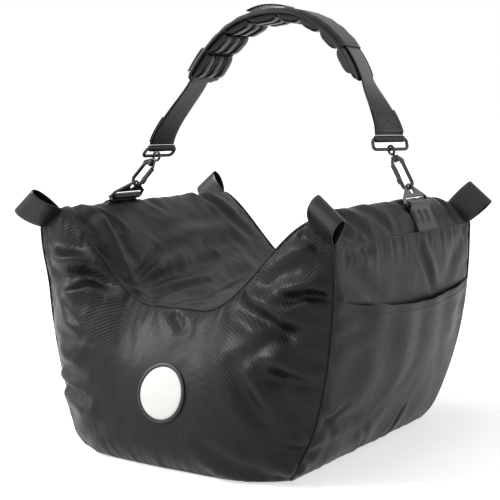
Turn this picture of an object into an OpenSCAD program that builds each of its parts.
// Saddle-shaped, bead-filled support bag with a padded carry strap.
// Millimetres. +X points to the right horn, -Y to the front, +Z up.
// The origin is on the floor, under the middle of the bag.

/* [Bag] */
// Width over the outer seams of the two horns
bag_w = 380; // [330:5:430]
// Depth from the front seam to the back seam
bag_d = 324; // [280:4:380]
// Height of the outer seams above the floor
seam_h = 240; // [215:5:275]
// How far the ridges stand above the outer seams
ridge_rise = 24; // [18:1:30]
// Sideways run of the strip between a ridge and its outer seam
strip_run = 29; // [25:1:36]
// How far the filling plumps the right strip outwards
right_plump = 12; // [4:1:16]
// How far the filling plumps the left strip outwards
left_plump = 5; // [2:1:16]
// How far the filling lifts the right ridge between its corners
right_puff = 8; // [0:1:12]
// How far the filling lifts the left ridge between its corners
left_puff = 0; // [0:1:12]
// Depth of the valley below the ridges
valley_depth = 99; // [60:1:130]
// Share of the half width that the valley's flat floor takes
valley_flat = 0.2; // [0.1:0.05:0.35]
// How rounded the ridges are on the valley side, in degrees
valley_turn = 77; // [60:1:88]
// Width of the bag where it stands on the floor
base_w = 286; // [240:2:320]
// Depth of the bag where it stands on the floor
base_d = 296; // [250:2:330]
// How far the front and back panels swell outwards
panel_swell = 48; // [20:1:54]
// How far the side panels swell outwards
side_swell = 7; // [3:1:12]
// Thickness of one panel with its lining
fabric_t = 2; // [1.6:0.2:3]
// Gap left between two sewn pieces
sewn_gap = 0.3; // [0.2:0.05:0.5]

/* [Pockets] */
// Depth of the pocket mouth below the outer seam, at mid width
mouth_drop = 72; // [50:1:100]
// How far the mouth rises towards the corner seams
mouth_rise = 15; // [0:1:25]
// How far the mouth climbs from the back to the front
mouth_slope = 7; // [0:1:15]
// How far the pocket stands off the bag at the middle of its mouth
pocket_slack = 9; // [7:0.5:14]
// Thickness of the pocket cloth with its hem
pocket_t = 1.6; // [1.2:0.2:2.4]

/* [Corner loops] */
// Width of the loop webbing
loop_w = 36; // [25:1:40]
// Length that a loop stands out of the corner
loop_len = 36; // [28:1:45]
// Widest opening inside a loop
loop_gap = 12; // [9:0.5:16]
// Thickness of the webbing
web_t = 1.6; // [1.2:0.1:2]

/* [Ring tabs] */
// Width of the webbing tabs
tab_w = 50; // [38:1:56]
// Where the right tab sits, behind the middle of the bag
right_tab_y = 42; // [20:1:60]
// Where the left tab sits, in front of the middle of the bag
left_tab_y = 47; // [20:1:60]
// Height of the left ring's bar above the ridge
left_bar_rise = 7; // [6:0.5:14]
// How far the right ring's bar lies in from the outer seam
right_bar_in = 10; // [8:0.5:16]
// Height of the right ring's bar above the outer seam
right_bar_up = 30; // [29:0.5:36]

/* [Triangle rings] */
// Radius of the ring's base bar
ring_bar_r = 2; // [1.6:0.1:2.4]
// Thickness of the ring's plate
plate_t = 2.4; // [1.6:0.1:2.6]
// Height of the hook hole above the base bar
hole_h = 17.5; // [16.5:0.5:22]
// Radius of the hook hole
hole_r = 5; // [4.6:0.1:5.4]
// Steel left around the hook hole
hole_rim = 2.6; // [2:0.1:3.5]
// Height of the webbing slot
slot_h = 7; // [6.5:0.5:8]
// Steel beside the slot
slot_side = 3.4; // [3:0.1:4]
// Lean of the left ring towards the valley, in degrees
left_ring_lean = 44; // [30:1:50]
// Lean of the right ring towards the valley, in degrees
right_ring_lean = 32; // [20:1:40]

/* [Snap hooks] */
// Distance from the ring's hole to the strap ring's bar
hook_len = 48.5; // [47:0.5:56]
// Radius of the hook's bow, to the middle of the wire
bow_r = 6; // [5.6:0.1:7]
// Radius of the hook's wire
wire_r = 2.1; // [1.8:0.1:2.3]
// Height of the nose's top above the ring's hole
nose_z = 13; // [12:0.5:15]
// Height of the gate's pivot above the ring's hole
pivot_z = 30; // [28:0.5:31]
// Radius of the gate's pin
pin_r = 0.9; // [0.7:0.1:1]
// Radius of the swivel's stem
stem_r = 1.6; // [1.3:0.1:1.8]
// Inner radius of the swivel's eye
eye_r = 3.4; // [3:0.1:4]
// Radius of the eye's wire
eye_wire_r = 1.5; // [1.2:0.1:1.7]
// Lean of the left hook towards the valley, in degrees
left_hook_lean = 45; // [38:1:50]
// Lean of the right hook towards the valley, in degrees
right_hook_lean = 29; // [20:1:40]

/* [Strap] */
// Width of the strap webbing
strap_w = 38; // [30:1:40]
// Thickness of the strap webbing
strap_t = 1.8; // [1.4:0.1:2.2]
// Radius of the strap ring's wire
strap_ring_r = 1.9; // [1.5:0.1:2.1]
// Distance between the two bars of a strap ring
strap_ring_h = 12; // [11:0.5:14]
// Height of the pad's ends above the hook eyes
pad_rise = 80; // [70:1:100]
// Height of the arch above the hook eyes
arch_rise = 155; // [140:1:180]
// Width of the shoulder pad
pad_w = 63; // [55:1:75]
// Thickness of the pad's base
pad_t = 5; // [4:0.5:7]
// Height of an air cell
cell_h = 8; // [5:0.5:10]
// Number of cells along the pad
cell_rows = 8; // [6:1:10]
// Number of cells across the pad
cell_cols = 3; // [2:1:4]
// Thickness of the sleeve over the webbing
sleeve_t = 1.2; // [1:0.1:1.8]

/* [Patch] */
// Radius of the round patch on the front
patch_r = 29; // [20:1:34]
// How far the patch's middle lies to the right of the bag's middle
patch_x = 10; // [-20:1:20]
// Height of the patch's middle above the floor
patch_z = 78; // [66:1:90]
// Thickness of the patch
patch_t = 0.8; // [0.6:0.1:1.2]
// Width of the binding round the patch
binding_w = 2.4; // [1.6:0.2:4]

/* [Filling zip] */
// Length of the zip's opening
zip_len = 180; // [120:5:200]
// Height of the zip above the floor
zip_z = 56; // [44:1:66]
// Width of the zip's tape
tape_w = 24; // [18:1:30]
// Width of the zip's coil
coil_w = 3.6; // [3:0.1:4.4]
// Height of the zip's coil
coil_h = 1.7; // [1.4:0.1:2.2]

/* [Hidden] */
$fn = 32;

// Colours, as the photograph shows them
nylon = "#1a1a1c";
weave = "#242426";
steel = "#101012";
foam = "#2c2c2f";
white = "#f2f2f0";

// ---- The bag as one map from a box -------------------------------------------------
// a runs from the left seam (-1) to the right seam (1), b from front (-1) to back (1).

half_w = bag_w/2;
half_d = bag_d/2;
ridge_x = half_w - strip_run;
ridge_z = seam_h + ridge_rise;
valley_z = ridge_z - valley_depth;
seam_in = fabric_t + sewn_gap;
filling_in = seam_in + 2.4;      // filling below the seams, also where the saddle is steep
filling_gap = seam_in + 0.9;     // filling inside the walls, which are cut in other rows
swell_power = 4;        // how flat the front and back swells are across the middle
barrel_power = 2.5;     // how late the sides turn in towards the base
foot_h = 24;            // height of the rounding along the base seam
foot_in = 6;            // how far that rounding draws the base seam in

// Height of the saddle's surface: a plump strip outside each ridge, a rounded valley between
function valley_share(x) = max(0, (x/ridge_x - valley_flat)/(1 - valley_flat));
function strip_share(x) = (x - ridge_x)/strip_run;
function plump(b) = 1 - pow(b, 4);      // none at the end seams, full between them
function top_z(a, b) = let (
    x = abs(a)*half_w,
    puff = (a > 0 ? right_puff : left_puff)*plump(b),
    s = strip_share(x),
    bow = (a > 0 ? right_plump : left_plump)*plump(b))
    s > 0 ? ridge_z + puff - (ridge_rise + puff)*s + bow*sin(180*s)
    : valley_z + puff*pow(valley_share(x), 2)
        + valley_depth*pow(sin(valley_turn*valley_share(x))/sin(valley_turn), 2);

// Half width or half depth at height z: full at the seam, drawn in towards the floor
function barrel(z, base, top) = top - (top - base)*pow(1 - min(1, z/seam_h), barrel_power)
    - foot_in*pow(max(0, 1 - z/foot_h), 2);
function front_lift(share) = max(0, (share + 0.35)*(1 - share)/0.456);
function side_lift(share) = max(0, 4*share*(1 - share));

// The point at (a, b) and height z, with the walls set in by in_x and in_y
function bag_at(a, b, z, in_x = 0, in_y = 0) = let (
    share = min(1, z/top_z(a, b)),
    w = barrel(z, base_w/2, half_w) + side_swell*(1 - b*b)*side_lift(z/seam_h),
    d = barrel(z, base_d/2, half_d) + panel_swell*(1 - pow(a, swell_power))*front_lift(share))
    [a*(w - in_x), b*(d - in_y), z];

// The same, with v from 0 at the floor to 1 at the saddle, and both set in by in_z
function bag(a, b, v, in_x = 0, in_y = 0, in_z = 0) =
    bag_at(a, b, in_z + v*(top_z(a, b) - 2*in_z), in_x, in_y);

// Columns across the bag, with one on each ridge
strip_cells = 4;
valley_cells = 22;
ridge_a = ridge_x/half_w;
cols = concat([for (i = [0:strip_cells - 1]) -1 + i*(1 - ridge_a)/strip_cells],
    [for (i = [0:valley_cells]) ridge_a*(2*i/valley_cells - 1)],
    [for (i = [1:strip_cells]) ridge_a + i*(1 - ridge_a)/strip_cells]);
col_cells = len(cols) - 1;
row_cells = 10;
depth_cells = 8;

// A closed block whose grid corners are placed by f(u, v, w). A ring joins its u ends.
module block(nu, nv, nw, f, ring = false, turned = false) {
    row = ring ? nu : nu + 1;
    layer = row*(nv + 1);
    at = function (i, j, k) k*layer + j*row + (ring ? i % nu : i);
    points = [for (k = [0:nw], j = [0:nv], i = [0:row - 1]) f(i/nu, j/nv, k/nw)];
    low = [for (j = [0:nv - 1], i = [0:nu - 1])
        [at(i, j, 0), at(i + 1, j, 0), at(i + 1, j + 1, 0), at(i, j + 1, 0)]];
    high = [for (j = [0:nv - 1], i = [0:nu - 1])
        [at(i, j, nw), at(i, j + 1, nw), at(i + 1, j + 1, nw), at(i + 1, j, nw)]];
    near = [for (k = [0:nw - 1], i = [0:nu - 1])
        [at(i, 0, k), at(i, 0, k + 1), at(i + 1, 0, k + 1), at(i + 1, 0, k)]];
    far = [for (k = [0:nw - 1], i = [0:nu - 1])
        [at(i, nv, k), at(i + 1, nv, k), at(i + 1, nv, k + 1), at(i, nv, k + 1)]];
    ends = ring ? [] : [for (k = [0:nw - 1], j = [0:nv - 1], i = [0, nu])
        let (q = [at(i, j, k), at(i, j + 1, k), at(i, j + 1, k + 1), at(i, j, k + 1)])
        i == 0 ? q : [q[0], q[3], q[2], q[1]]];
    corners = turned ? [[0, 2, 1], [0, 3, 2]] : [[0, 1, 2], [0, 2, 3]];
    polyhedron(points, [for (q = concat(low, high, near, far, ends), t = corners)
        [for (c = t) q[c]]]);
}

module bead_filling() color("#3a3a3c")
    block(col_cells, row_cells, 4, turned = true, f = function (u, v, w)
        bag(cols[round(u*col_cells)], 2*w - 1, v, filling_gap, filling_gap, filling_in));

module end_panel(b) color(nylon)
    block(col_cells, row_cells, 1, turned = b < 0, f = function (u, v, w)
        bag(cols[round(u*col_cells)], b, v, 0, fabric_t*w, seam_in));

module front_panel() end_panel(-1);
module back_panel() end_panel(1);

module saddle_panel() color(nylon)
    block(col_cells, depth_cells, 1, function (u, v, w)
        let (a = cols[round(u*col_cells)], p = bag(a, 2*v - 1, 1))
        [p.x, p.y, p.z - fabric_t*(1 - w)]);

module side_panel() color(nylon)
    block(depth_cells, row_cells, 1, function (u, v, w)
        bag(1, 2*u - 1, v, fabric_t*(1 - w), seam_in, seam_in));

module right_side_panel() side_panel();
module left_side_panel() mirror([1, 0, 0]) side_panel();

// The flat foot of the bag, cut to the outline of the base seam
foot_outline = concat([for (a = cols) bag_at(a, -1, 0)],
    [for (j = [1:depth_cells - 1]) bag_at(1, 2*j/depth_cells - 1, 0)],
    [for (i = [0:col_cells]) bag_at(cols[col_cells - i], 1, 0)],
    [for (j = [1:depth_cells - 1]) bag_at(-1, 1 - 2*j/depth_cells, 0)]);
module base_panel() color(nylon)
    linear_extrude(fabric_t) polygon([for (p = foot_outline) [p.x, p.y]]);

// ---- Pockets, patch -----------------------------------------------------------------

function mouth_z(b) = seam_h - mouth_drop + mouth_rise*b*b - mouth_slope*b;
function pocket_off(b, z) = sewn_gap + pocket_slack*(1 - b*b)*z/mouth_z(b);

module pocket() color(weave)
    block(depth_cells, row_cells, 1, function (u, v, w)
        let (b = 2*u - 1, z = seam_in + v*(mouth_z(b) - seam_in))
        bag_at(1, b, z, -pocket_off(b, z) - pocket_t*w, seam_in));

module right_pocket() pocket();
module left_pocket() mirror([1, 0, 0]) pocket();

// A point that stands off the front panel by out, at the given x and z
function on_front(x, z, out) = let (w = barrel(z, base_w/2, half_w))
    bag_at(x/w, -1, z, 0, -out);

patch_cells = 10;
module round_patch() color(white)
    block(patch_cells, patch_cells, 1, turned = true, f = function (u, v, w)
        let (p = 2*u - 1, q = 2*v - 1, out = sewn_gap + patch_t*(1 - w))
        on_front(patch_x + patch_r*p*sqrt(1 - q*q/2), patch_z + patch_r*q*sqrt(1 - p*p/2), out));

module patch_binding() color(nylon)
    block(40, 1, 1, ring = true, f = function (u, v, w)
        let (r = patch_r + sewn_gap + binding_w*v, out = sewn_gap + (patch_t + 0.4)*(1 - w))
        on_front(patch_x + r*cos(360*u), patch_z + r*sin(360*u), out));

// ---- Corner loops: a length of webbing folded to a loop -----------------------------

strip_len = norm([strip_run, ridge_rise]);
strip_up = [-strip_run/strip_len, 0, ridge_rise/strip_len];    // up the right strip
function unit(v) = v/norm(v);
function square_to(v, n) = unit(v - (v*n)*n);

// Outline of a folded loop: pinched where it is sewn in, round at its fold
function fold_line(len, gap, pinch, n = 28) = [for (i = [0:n])
    let (t = 360*i/n, x = len*(1 - cos(t))/2, y = gap*sin(t)*sqrt(max(0, x/len))*0.65)
    [x, abs(y) < pinch ? (t < 180 ? pinch : -pinch) : y]];

module folded_loop() {
    sewn = 6;
    rotate([0, 0, 90]) linear_extrude(loop_w, center = true) difference() {
        polygon(fold_line(loop_len, loop_gap + 2*web_t, web_t*0.9));
        translate([sewn, 0]) polygon(fold_line(loop_len - sewn - web_t, loop_gap, 0.02));
    }
}

// Stands a loop on the edge at a corner, leaning out along lean
module corner_loop(side, end, lean) color(weave) {
    along = [side*strip_up.x, 0, strip_up.z];
    out = square_to(lean, along);
    across = cross(out, along);
    root = [side*(half_w - strip_run/2), end*half_d, seam_h + ridge_rise/2] + 0.4*out;
    multmatrix([[-across.x, out.x, along.x, root.x], [-across.y, out.y, along.y, root.y],
        [-across.z, out.z, along.z, root.z]]) folded_loop();
}

module front_right_loop() corner_loop(1, -1, [0.45, -0.75, 0.85]);
module front_left_loop() corner_loop(-1, -1, [-0.8, -0.75, 0.75]);
module back_right_loop() corner_loop(1, 1, [0.7, 0.75, 0.85]);
module back_left_loop() corner_loop(-1, 1, [-0.8, 0.6, 0.6]);

// ---- Webbing tabs and triangle rings ------------------------------------------------

bar_gap = 0.3;                               // running gap between bar and webbing
sleeve_in = ring_bar_r + bar_gap;            // webbing turned round the bar
sleeve_out = sleeve_in + web_t;
tab_lift = 0.9;                              // tab above the strip
right_bar = [half_w - right_bar_in, right_tab_y, seam_h + right_bar_up];
left_bar = [-ridge_x, -left_tab_y, ridge_z + left_bar_rise];

// Side view of a tab, in X and Z: two plies that follow the strip, then turn round the bar.
// side is 1 on the right and -1 on the left, shares are the strip shares that it follows.
function turned(d) = [d.y, -d.x]/norm(d);
function strip_point(s, y, side) = let (x = ridge_x + s*strip_run)
    [x, top_z(side*x/half_w, y/half_d)];
function tab_middle(bar, side, shares) = concat([for (s = shares)
    let (p = strip_point(s, bar.y, side), q = strip_point(s - 0.01, bar.y, side))
    p + (tab_lift + web_t)*turned(q - p)], [[side*bar.x, bar.z]]);

module ring_tab(bar, side, shares) color(weave) {
    line = tab_middle(bar, side, shares);
    last = len(line) - 1;
    square_off = [for (i = [0:last]) web_t*turned(line[min(last, i + 1)] - line[max(0, i - 1)])];
    translate([0, bar.y, 0]) mirror([side < 0 ? 1 : 0, 0, 0]) rotate([90, 0, 0])
        linear_extrude(tab_w, center = true) difference() {
            union() {
                polygon(concat([for (i = [0:last]) line[i] + square_off[i]],
                    [for (i = [0:last]) line[last - i] - square_off[last - i]]));
                translate([side*bar.x, bar.z]) circle(sleeve_out);
            }
            translate([side*bar.x, bar.z]) circle(sleeve_in);
        }
}

module right_ring_tab() ring_tab(right_bar, 1, [0.97, 0.92, 0.86, 0.8, 0.74]);
module left_ring_tab() ring_tab(left_bar, -1, [0.97, 0.9, 0.82, 0.7, 0.55, 0.4, 0.25, 0.12]);

ring_half = tab_w/2 + 1 + slot_side;
shoulder = [ring_half - 2, slot_h + 1.5];
crown_r = hole_r + hole_rim;
crown_c = [0, hole_h];
// Direction from the crown's middle to where a line from the shoulder touches it
crown_turn = atan2(shoulder.y - crown_c.y, shoulder.x) + acos(crown_r/norm(shoulder - crown_c));

// What is cut from a plate to leave a hole whose edge is fully rounded
module round_edged_hole() {
    translate([0, 0, -plate_t]) cylinder(r = hole_r, h = 2*plate_t);
    difference() {
        cylinder(r = hole_r + plate_t/2, h = plate_t + 0.02, center = true);
        rotate_extrude() translate([hole_r + plate_t/2, 0]) circle(plate_t/2);
    }
}

module triangle_ring() {
    slot_half = tab_w/2 + 1;
    rotate([90, 0, 90]) difference() {
        linear_extrude(plate_t, center = true) union() {
            polygon([[-ring_half, 0], [ring_half, 0], shoulder,
                crown_c + crown_r*[cos(crown_turn), sin(crown_turn)],
                crown_c + crown_r*[-cos(crown_turn), sin(crown_turn)],
                [-shoulder.x, shoulder.y]]);
            translate(crown_c) circle(crown_r);
        }
        linear_extrude(2*plate_t, center = true) polygon([[-slot_half, 1.5], [slot_half, 1.5],
            [shoulder.x - slot_side, slot_h + 1.5], [slot_side - shoulder.x, slot_h + 1.5]]);
        translate([0, hole_h, 0]) round_edged_hole();
    }
    rotate([90, 0, 0]) cylinder(r = ring_bar_r, h = 2*ring_half, center = true);
}

module right_triangle_ring() color(steel)
    translate(right_bar) rotate([0, -right_ring_lean, 0]) triangle_ring();
module left_triangle_ring() color(steel)
    translate(left_bar) rotate([0, left_ring_lean, 0]) triangle_ring();

// ---- Snap hooks ---------------------------------------------------------------------
// In a hook's own frame Z runs from the ring's hole to the strap ring, and X points to
// the spine, which lies on the outer side of the bag.

right_up = [-sin(right_ring_lean), 0, cos(right_ring_lean)];
left_up = [sin(left_ring_lean), 0, cos(left_ring_lean)];
right_hole = right_bar + hole_h*right_up;
left_hole = left_bar + hole_h*left_up;
right_hook_axis = [-sin(right_hook_lean), 0, cos(right_hook_lean)];
left_hook_axis = [sin(left_hook_lean), 0, cos(left_hook_lean)];
// The bow hangs square through the ring, so its middle lies up the ring from the hole
hook_play = 0.8;                             // play between the bow and the hole's edge
hook_seat = hole_r - wire_r - hook_play;     // the bow is pulled up towards that edge
right_pull = right_hole + hook_seat*right_up;
left_pull = left_hole + hook_seat*left_up;
right_hook_at = right_pull + bow_r*(right_up - right_hook_axis);
left_hook_at = left_pull + bow_r*(left_up - left_hook_axis);
right_eye = right_hook_at + hook_len*right_hook_axis;
left_eye = left_hook_at + hook_len*left_hook_axis;

module at_right_hook() translate(right_hook_at) rotate([0, -right_hook_lean, 0]) children();
module at_left_hook() translate(left_hook_at) rotate([0, left_hook_lean, 0]) mirror([1, 0, 0])
    children();

head_r = stem_r + 1;
head_h = 2;
collar_h = 5;
collar_r = stem_r + 2.6;
eye_play = 0.4;                              // play between the eye and the strap ring
eye_z_in_hook = hook_len - (eye_r - strap_ring_r - eye_play);
collar_top = eye_z_in_hook - eye_r - 2*eye_wire_r - 1.2;
collar_low = collar_top - collar_h;
head_low = collar_low - head_h - sewn_gap;
post_t = 2.2;            // thickness of the post that carries the gate
cheek_t = 0.8;           // thickness of the gate's cheeks
run_gap = 0.2;           // play between gate and hook

module hook_body() {
    outer = bow_r + wire_r;
    inner = bow_r - wire_r;
    translate([0, 0, bow_r]) rotate([90, 0, 0]) rotate([0, 0, 180])
        rotate_extrude(angle = 180) translate([bow_r, 0]) circle(wire_r);
    translate([bow_r, 0, bow_r]) cylinder(r = wire_r, h = collar_low - 4 - bow_r);
    translate([-bow_r, 0, bow_r]) cylinder(r = wire_r, h = nose_z - bow_r);
    // the lip that stops the gate from swinging out
    translate([-outer - cheek_t - run_gap, -wire_r, nose_z - 4]) cube([cheek_t, 2*wire_r, 6]);
    translate([-outer - cheek_t, -wire_r, nose_z - 4]) cube([cheek_t + wire_r, 2*wire_r, 3]);
    // arms from the collar to the spine and to the gate's post
    difference() {
        union() {
            translate([0, 0, collar_low]) cylinder(r = collar_r, h = collar_h);
            rotate([90, 0, 0]) linear_extrude(2*wire_r, center = true)
                polygon([[2, collar_low + 1], [collar_r, collar_top - 1], [outer, collar_low - 2],
                    [outer, collar_low - 6], [inner, collar_low - 6], [inner, collar_low - 3],
                    [head_r + 0.8, collar_low]]);
            rotate([90, 0, 0]) linear_extrude(post_t, center = true)
                polygon([[-2, collar_low + 1], [-collar_r, collar_top - 1],
                    [-outer + 0.9, collar_low - 1], [-outer + 0.9, pivot_z - 1.6],
                    [-inner - 0.4, pivot_z - 1.6], [-inner - 0.4, collar_low - 2],
                    [-head_r - 0.8, collar_low]]);
        }
        translate([0, 0, collar_low - 1]) cylinder(r = stem_r + 0.08, h = collar_h + 2);
        translate([-bow_r, 0, pivot_z]) rotate([90, 0, 0])
            cylinder(r = pin_r, h = 3*post_t, center = true);
    }
}

// A channel of sheet steel, hinged at the post and closed at its tip
module hook_gate() {
    cheek_in = post_t/2 + run_gap;
    tip = nose_z + run_gap;
    top = pivot_z + wire_r;
    difference() {
        union() {
            for (side = [-1, 1])
                translate([-bow_r - wire_r, side*(cheek_in + cheek_t/2) - cheek_t/2, tip])
                    cube([2*wire_r - 0.4, cheek_t, top - tip]);
            translate([-bow_r - wire_r, -cheek_in - 0.1, tip])
                cube([cheek_t, 2*cheek_in + 0.2, pivot_z - tip - 2]);
            translate([-bow_r - wire_r, -cheek_in - 0.1, tip])
                cube([2*wire_r - 0.4, 2*cheek_in + 0.2, 3]);
        }
        translate([-bow_r, 0, pivot_z]) rotate([90, 0, 0])
            cylinder(r = pin_r + 0.06, h = 3*post_t, center = true);
    }
}

module gate_pin() translate([-bow_r, 0, pivot_z]) rotate([90, 0, 0])
    cylinder(r = pin_r, h = post_t + 2*run_gap + 2*cheek_t + 0.4, center = true);

// A leaf spring inside the gate, from below the post to the gate's tip
module gate_spring() translate([-bow_r - wire_r + cheek_t + run_gap, -post_t/2 + 0.2, nose_z + 4])
    cube([0.4, post_t - 0.4, pivot_z - nose_z - 6.6]);

// Eye, stem and head of the swivel. The eye's hole points along the strap ring's bar.
module swivel_eye(turn) {
    translate([0, 0, eye_z_in_hook]) rotate([0, 0, turn]) rotate([0, 90, 0])
        rotate_extrude() translate([eye_r + eye_wire_r, 0]) circle(eye_wire_r);
    translate([0, 0, head_low + head_h/2]) cylinder(r = stem_r, h = eye_z_in_hook - eye_r
        - head_low - head_h/2 - eye_wire_r);
    translate([0, 0, head_low]) cylinder(r = head_r, h = head_h);
}

// Compass direction of each strap ring's bar, in degrees from +X
right_bar_turn = 60;
left_bar_turn = 80;
right_bar_way = [cos(right_bar_turn), sin(right_bar_turn), 0];
left_bar_way = [cos(left_bar_turn), sin(left_bar_turn), 0];

module right_hook_body() color(steel) at_right_hook() hook_body();
module left_hook_body() color(steel) at_left_hook() hook_body();
module right_hook_gate() color(steel) at_right_hook() hook_gate();
module left_hook_gate() color(steel) at_left_hook() hook_gate();
module right_gate_pin() color(steel) at_right_hook() gate_pin();
module left_gate_pin() color(steel) at_left_hook() gate_pin();
module right_gate_spring() color(steel) at_right_hook() gate_spring();
module left_gate_spring() color(steel) at_left_hook() gate_spring();
module right_swivel_eye() color(steel) at_right_hook()
    swivel_eye(atan2(right_bar_way.y, right_bar_way.x*cos(right_hook_lean)));
module left_swivel_eye() color(steel) at_left_hook()
    swivel_eye(atan2(left_bar_way.y, -left_bar_way.x*cos(left_hook_lean)));

// ---- Strap rings --------------------------------------------------------------------

span_way = unit([right_eye.x - left_eye.x, right_eye.y - left_eye.y, 0]);
span = norm([right_eye.x - left_eye.x, right_eye.y - left_eye.y]);
left_ring_up = square_to(sin(46)*span_way + [0, 0, cos(46)], left_bar_way);
right_ring_up = square_to(-sin(25)*span_way + [0, 0, cos(25)], right_bar_way);

// A rounded rectangle of round wire. X runs along the bars, Y from lower to upper bar.
module strap_ring() {
    corner = 4;
    half = strap_w/2 + 1.5 + strap_ring_r;
    for (y = [0, strap_ring_h]) translate([0, y, 0]) rotate([0, 90, 0])
        cylinder(r = strap_ring_r, h = 2*(half - corner), center = true);
    for (side = [-1, 1]) {
        translate([side*half, strap_ring_h/2, 0]) rotate([90, 0, 0])
            cylinder(r = strap_ring_r, h = strap_ring_h - 2*corner, center = true);
        for (turn = [0, 1]) translate([side*(half - corner), corner + turn*(strap_ring_h - 2*corner), 0])
            mirror([side < 0 ? 1 : 0, 0, 0]) rotate([0, 0, turn*90 - 90])
                rotate_extrude(angle = 90) translate([corner, 0]) circle(strap_ring_r);
    }
}

// Places a shape on a strap ring, with X along the bar and Y up the ring
module on_ring(way, up, at) {
    face = cross(way, up);
    multmatrix([[way.x, up.x, face.x, at.x], [way.y, up.y, face.y, at.y],
        [way.z, up.z, face.z, at.z]]) children();
}

module right_strap_ring() color(steel) on_ring(right_bar_way, right_ring_up, right_eye)
    strap_ring();
module left_strap_ring() color(steel) on_ring(left_bar_way, left_ring_up, left_eye)
    strap_ring();

// ---- Strap and pad ------------------------------------------------------------------
// The strap's route is four curves: left ring, left pad end, top, right pad end, right ring.

turn_in = strap_ring_r + bar_gap;
turn_out = turn_in + strap_t;
left_top = left_eye + strap_ring_h*left_ring_up;
right_top = right_eye + strap_ring_h*right_ring_up;
eye_z = (left_eye.z + right_eye.z)/2;
function in_arch(share, rise) = [left_eye.x, left_eye.y, eye_z] + share*span*span_way
    + [0, 0, rise];
pad_left = in_arch(0.2, pad_rise);
pad_right = in_arch(0.89, pad_rise);
arch_top = in_arch(0.57, arch_rise);
left_climb = unit(0.46*span_way + [0, 0, 0.885]);
right_climb = unit(-0.33*span_way + [0, 0, 0.945]);
left_leave = square_to(0.32*span_way + [0, 0, 0.95], left_bar_way);
right_leave = square_to(-0.3*span_way + [0, 0, 0.95], right_bar_way);
leave = turn_out + 0.2;
reach = 0.31*(arch_rise - pad_rise) + 0.1*span;      // length of the arch's handles
curves = [
    [left_top + leave*left_leave, left_top + 26*left_leave, pad_left - 26*left_climb, pad_left],
    [pad_left, pad_left + reach*left_climb, arch_top - 0.19*span*span_way, arch_top],
    [arch_top, arch_top + 0.14*span*span_way, pad_right + reach*right_climb, pad_right],
    [pad_right, pad_right - 22*right_climb, right_top + 24*right_leave,
        right_top + leave*right_leave]];
bar_turns = [left_bar_turn, 92, 97, 98, right_bar_turn];

function bezier(c, t) = pow(1 - t, 3)*c[0] + 3*t*pow(1 - t, 2)*c[1] + 3*t*t*(1 - t)*c[2]
    + pow(t, 3)*c[3];
function bezier_way(c, t) = unit(pow(1 - t, 2)*(c[1] - c[0]) + 2*t*(1 - t)*(c[2] - c[1])
    + t*t*(c[3] - c[2]));

// The point across the strap by side and off it by out, at t from 0 to 4 along the route
function on_strap(t, side, out) = let (
    i = min(3, floor(t)), s = t - i,
    turn = bar_turns[i] + s*(bar_turns[i + 1] - bar_turns[i]),
    way = bezier_way(curves[i], s), wide = [cos(turn), sin(turn), 0])
    bezier(curves[i], s) + side*wide + out*unit(cross(way, wide));

// How far the webbing lies off the route: on the rings' middle, then on top of the pad
web_off = pad_t/2 + sewn_gap;
function web_out(t) = let (m = min(1, min(t, 4 - t)/0.75)) web_off*m*m*(3 - 2*m);

module strap_webbing() color(weave)
    block(48, 1, 1, function (u, v, w)
        on_strap(4*u, strap_w*(v - 0.5), web_out(4*u) + strap_t*w - strap_t/2*(u == 0 || u == 1 ? 1 : 0)));

// The end of the webbing, turned round the ring's bar and sewn back on itself
module strap_turn(way, up, at, t0, t1) color(weave) {
    on_ring(way, up, at) rotate([0, 90, 0]) difference() {
        cylinder(r = turn_out, h = strap_w, center = true);
        cylinder(r = turn_in, h = strap_w + 2, center = true);
    }
    block(4, 1, 1, function (u, v, w) let (t = t0 + u*(t1 - t0))
        on_strap(t, (strap_w - 1)*(v - 0.5), web_out(t) + strap_t + 0.4 + strap_t*w));
}

module left_strap_turn() strap_turn(left_bar_way, left_ring_up, left_top, 0.05, 0.4);
module right_strap_turn() strap_turn(right_bar_way, right_ring_up, right_top, 3.6, 3.95);

// Rounded ends: the half width shrinks over the last tenth of the pad
pad_cells_along = 30;
function pad_half(u) = let (e = max(0, abs(2*u - 1) - 0.9)/0.1) pad_w/2*(1 - 0.3*e*e);

module pad_base() color(nylon)
    block(pad_cells_along, 2, 1, function (u, v, w)
        on_strap(1 + 2*u, 2*pad_half(u)*(v - 0.5), pad_t*(w - 0.5)));

// One air cell: a pillow under the pad's base, between t0 and t1 and between s0 and s1
module air_cell(t0, t1, s0, s1)
    block(4, 4, 1, function (u, v, w) let (p = abs(2*u - 1), q = abs(2*v - 1),
        full = sqrt(max(0, 1 - pow(p, 3)))*sqrt(max(0, 1 - pow(q, 3))))
        on_strap(t0 + u*(t1 - t0), s0 + v*(s1 - s0),
            -pad_t/2 - sewn_gap - (1 - w)*(0.8 + (cell_h - 0.8)*full)));

module pad_cells() color(foam) {
    edge = 2.5;
    groove = 1.6;
    pitch = (pad_w - 2*edge)/cell_cols;
    step = 1.9/cell_rows;
    for (row = [0:cell_rows - 1], col = [0:cell_cols - 1])
        air_cell(1.05 + row*step, 1.05 + (row + 1)*step - 0.02,
            -pad_w/2 + edge + col*pitch, -pad_w/2 + edge + (col + 1)*pitch - groove);
}

// The sleeve lies on the pad at its edges and steps over the webbing
sleeve_from = 1.28;
sleeve_to = 2.72;
function step_up(side) = let (m = max(0, min(1, (pad_w/2 - 2 - side)/6))) m*m*(3 - 2*m);
function sleeve_out_at(side) = pad_t/2 + sewn_gap + (strap_t + sewn_gap)*step_up(abs(side));

module pad_sleeve() color(nylon)
    block(26, 8, 1, function (u, v, w) let (side = (pad_w - 3)*(v - 0.5))
        on_strap(sleeve_from + u*(sleeve_to - sleeve_from), side,
            sleeve_out_at(side) + sleeve_t*w));

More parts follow.
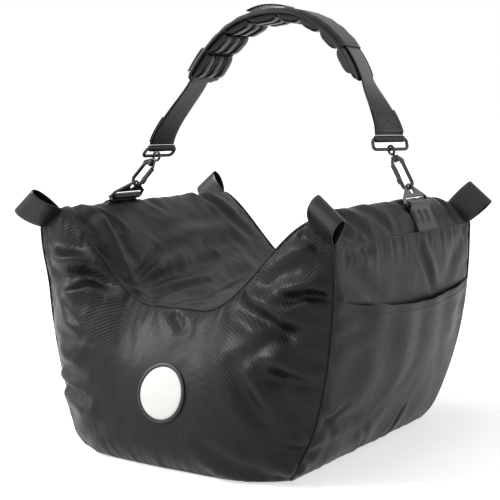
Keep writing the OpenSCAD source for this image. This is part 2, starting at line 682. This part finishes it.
module pad_keeper() color(weave)
    block(6, 8, 1, function (u, v, w) let (side = (pad_w - 3)*(v - 0.5))
        on_strap(1.08 + 0.18*u, side, sleeve_out_at(side) + 1.6*w));

// A short length of webbing that arches over the sleeve at the top
module slack_loop() color(weave)
    block(10, 1, 1, function (u, v, w)
        on_strap(1.72 + 0.3*u, 25*(v - 0.5),
            sleeve_out_at(0) + sleeve_t + sewn_gap + 3*sin(180*u) + strap_t*w));

// ---- Filling zip, on the back -------------------------------------------------------
// The zip follows the back panel's swell as an arc of one large circle.

function back_y(x) = bag_at(x/barrel(zip_z, base_w/2, half_w), 1, zip_z).y;
zip_half = zip_len/2;
zip_sag = back_y(0) - back_y(zip_half);
zip_arc_r = (zip_half*zip_half + zip_sag*zip_sag)/(2*zip_sag);
zip_centre_y = back_y(0) - zip_arc_r;
zip_turn = asin(zip_half/zip_arc_r);
tape_in = 2.2;                   // tape above the panel, which bends both ways
tape_t = 0.8;
coil_in = tape_in + tape_t + 0.1;
slider_turn = 13/zip_arc_r*180/PI;
zip_travel = 2*zip_turn - slider_turn - 1;

// A bar along the zip's arc, from one turn angle to another
module along_zip(from, to, in, thick, wide)
    translate([0, zip_centre_y, zip_z]) rotate([0, 0, 90 + from])
        rotate_extrude(angle = to - from, $fn = 360)
            translate([zip_arc_r + in, -wide/2]) square([thick, wide]);

module zip_tape() color(weave) along_zip(-zip_turn - 1, zip_turn + 1, tape_in, tape_t, tape_w);
module zip_coil() color(steel) along_zip(-zip_turn, zip_turn, coil_in, coil_h, coil_w);
module zip_stops() color(steel) for (side = [-1, 1])
    along_zip(side*(zip_turn + 0.45) - 0.25, side*(zip_turn + 0.45) + 0.25, coil_in, coil_h,
        coil_w + 2);

slider_from = -zip_turn + 0.4;
slider_mid = slider_from + slider_turn/2;
slider_in = coil_in + 0.1;
slider_top = coil_in + coil_h + 1.4;
module zip_slider() color(steel) difference() {
    union() {
        along_zip(slider_from, slider_from + slider_turn, slider_in, slider_top - slider_in, 10);
        along_zip(slider_mid - slider_turn/5, slider_mid + slider_turn/5, slider_top - 0.1, 2.6, 3);
    }
    along_zip(slider_from - 1, slider_from + slider_turn + 1, 0, coil_in + coil_h + 0.2,
        coil_w + 0.6);
    translate([0, zip_centre_y, 0]) rotate([0, 0, slider_mid])
        translate([0, zip_arc_r + slider_top + 1.2, zip_z]) cylinder(r = 0.85, h = 4, center = true);
}

// The puller lies along the zip. Its pin turns in the slider's bridge.
module zip_puller() color(steel)
    translate([0, zip_centre_y, zip_z]) rotate([0, 0, slider_mid])
        translate([0, zip_arc_r + slider_top + 1.2, 0]) {
            cylinder(r = 0.8, h = 5.4, center = true);
            difference() {
                translate([-20, -0.8, -3.6]) cube([20.7, 1.6, 7.2]);
                translate([-5, -2, -1.8]) cube([8, 4, 3.6]);
                translate([-16, 0, 0]) rotate([90, 0, 0]) cylinder(r = 2, h = 4, center = true);
            }
        }

bead_filling();
front_panel();
back_panel();
saddle_panel();
right_side_panel();
left_side_panel();
base_panel();
right_pocket();
left_pocket();
front_right_loop();
front_left_loop();
back_right_loop();
back_left_loop();
right_ring_tab();
left_ring_tab();
right_triangle_ring();
left_triangle_ring();
right_hook_body();
left_hook_body();
right_hook_gate();
left_hook_gate();
right_gate_pin();
left_gate_pin();
right_gate_spring();
left_gate_spring();
right_swivel_eye();
left_swivel_eye();
right_strap_ring();
left_strap_ring();
right_strap_turn();
left_strap_turn();
strap_webbing();
pad_base();
pad_cells();
pad_sleeve();
pad_keeper();
slack_loop();
round_patch();
patch_binding();
zip_tape();
zip_coil();
zip_stops();
zip_slider();
zip_puller();
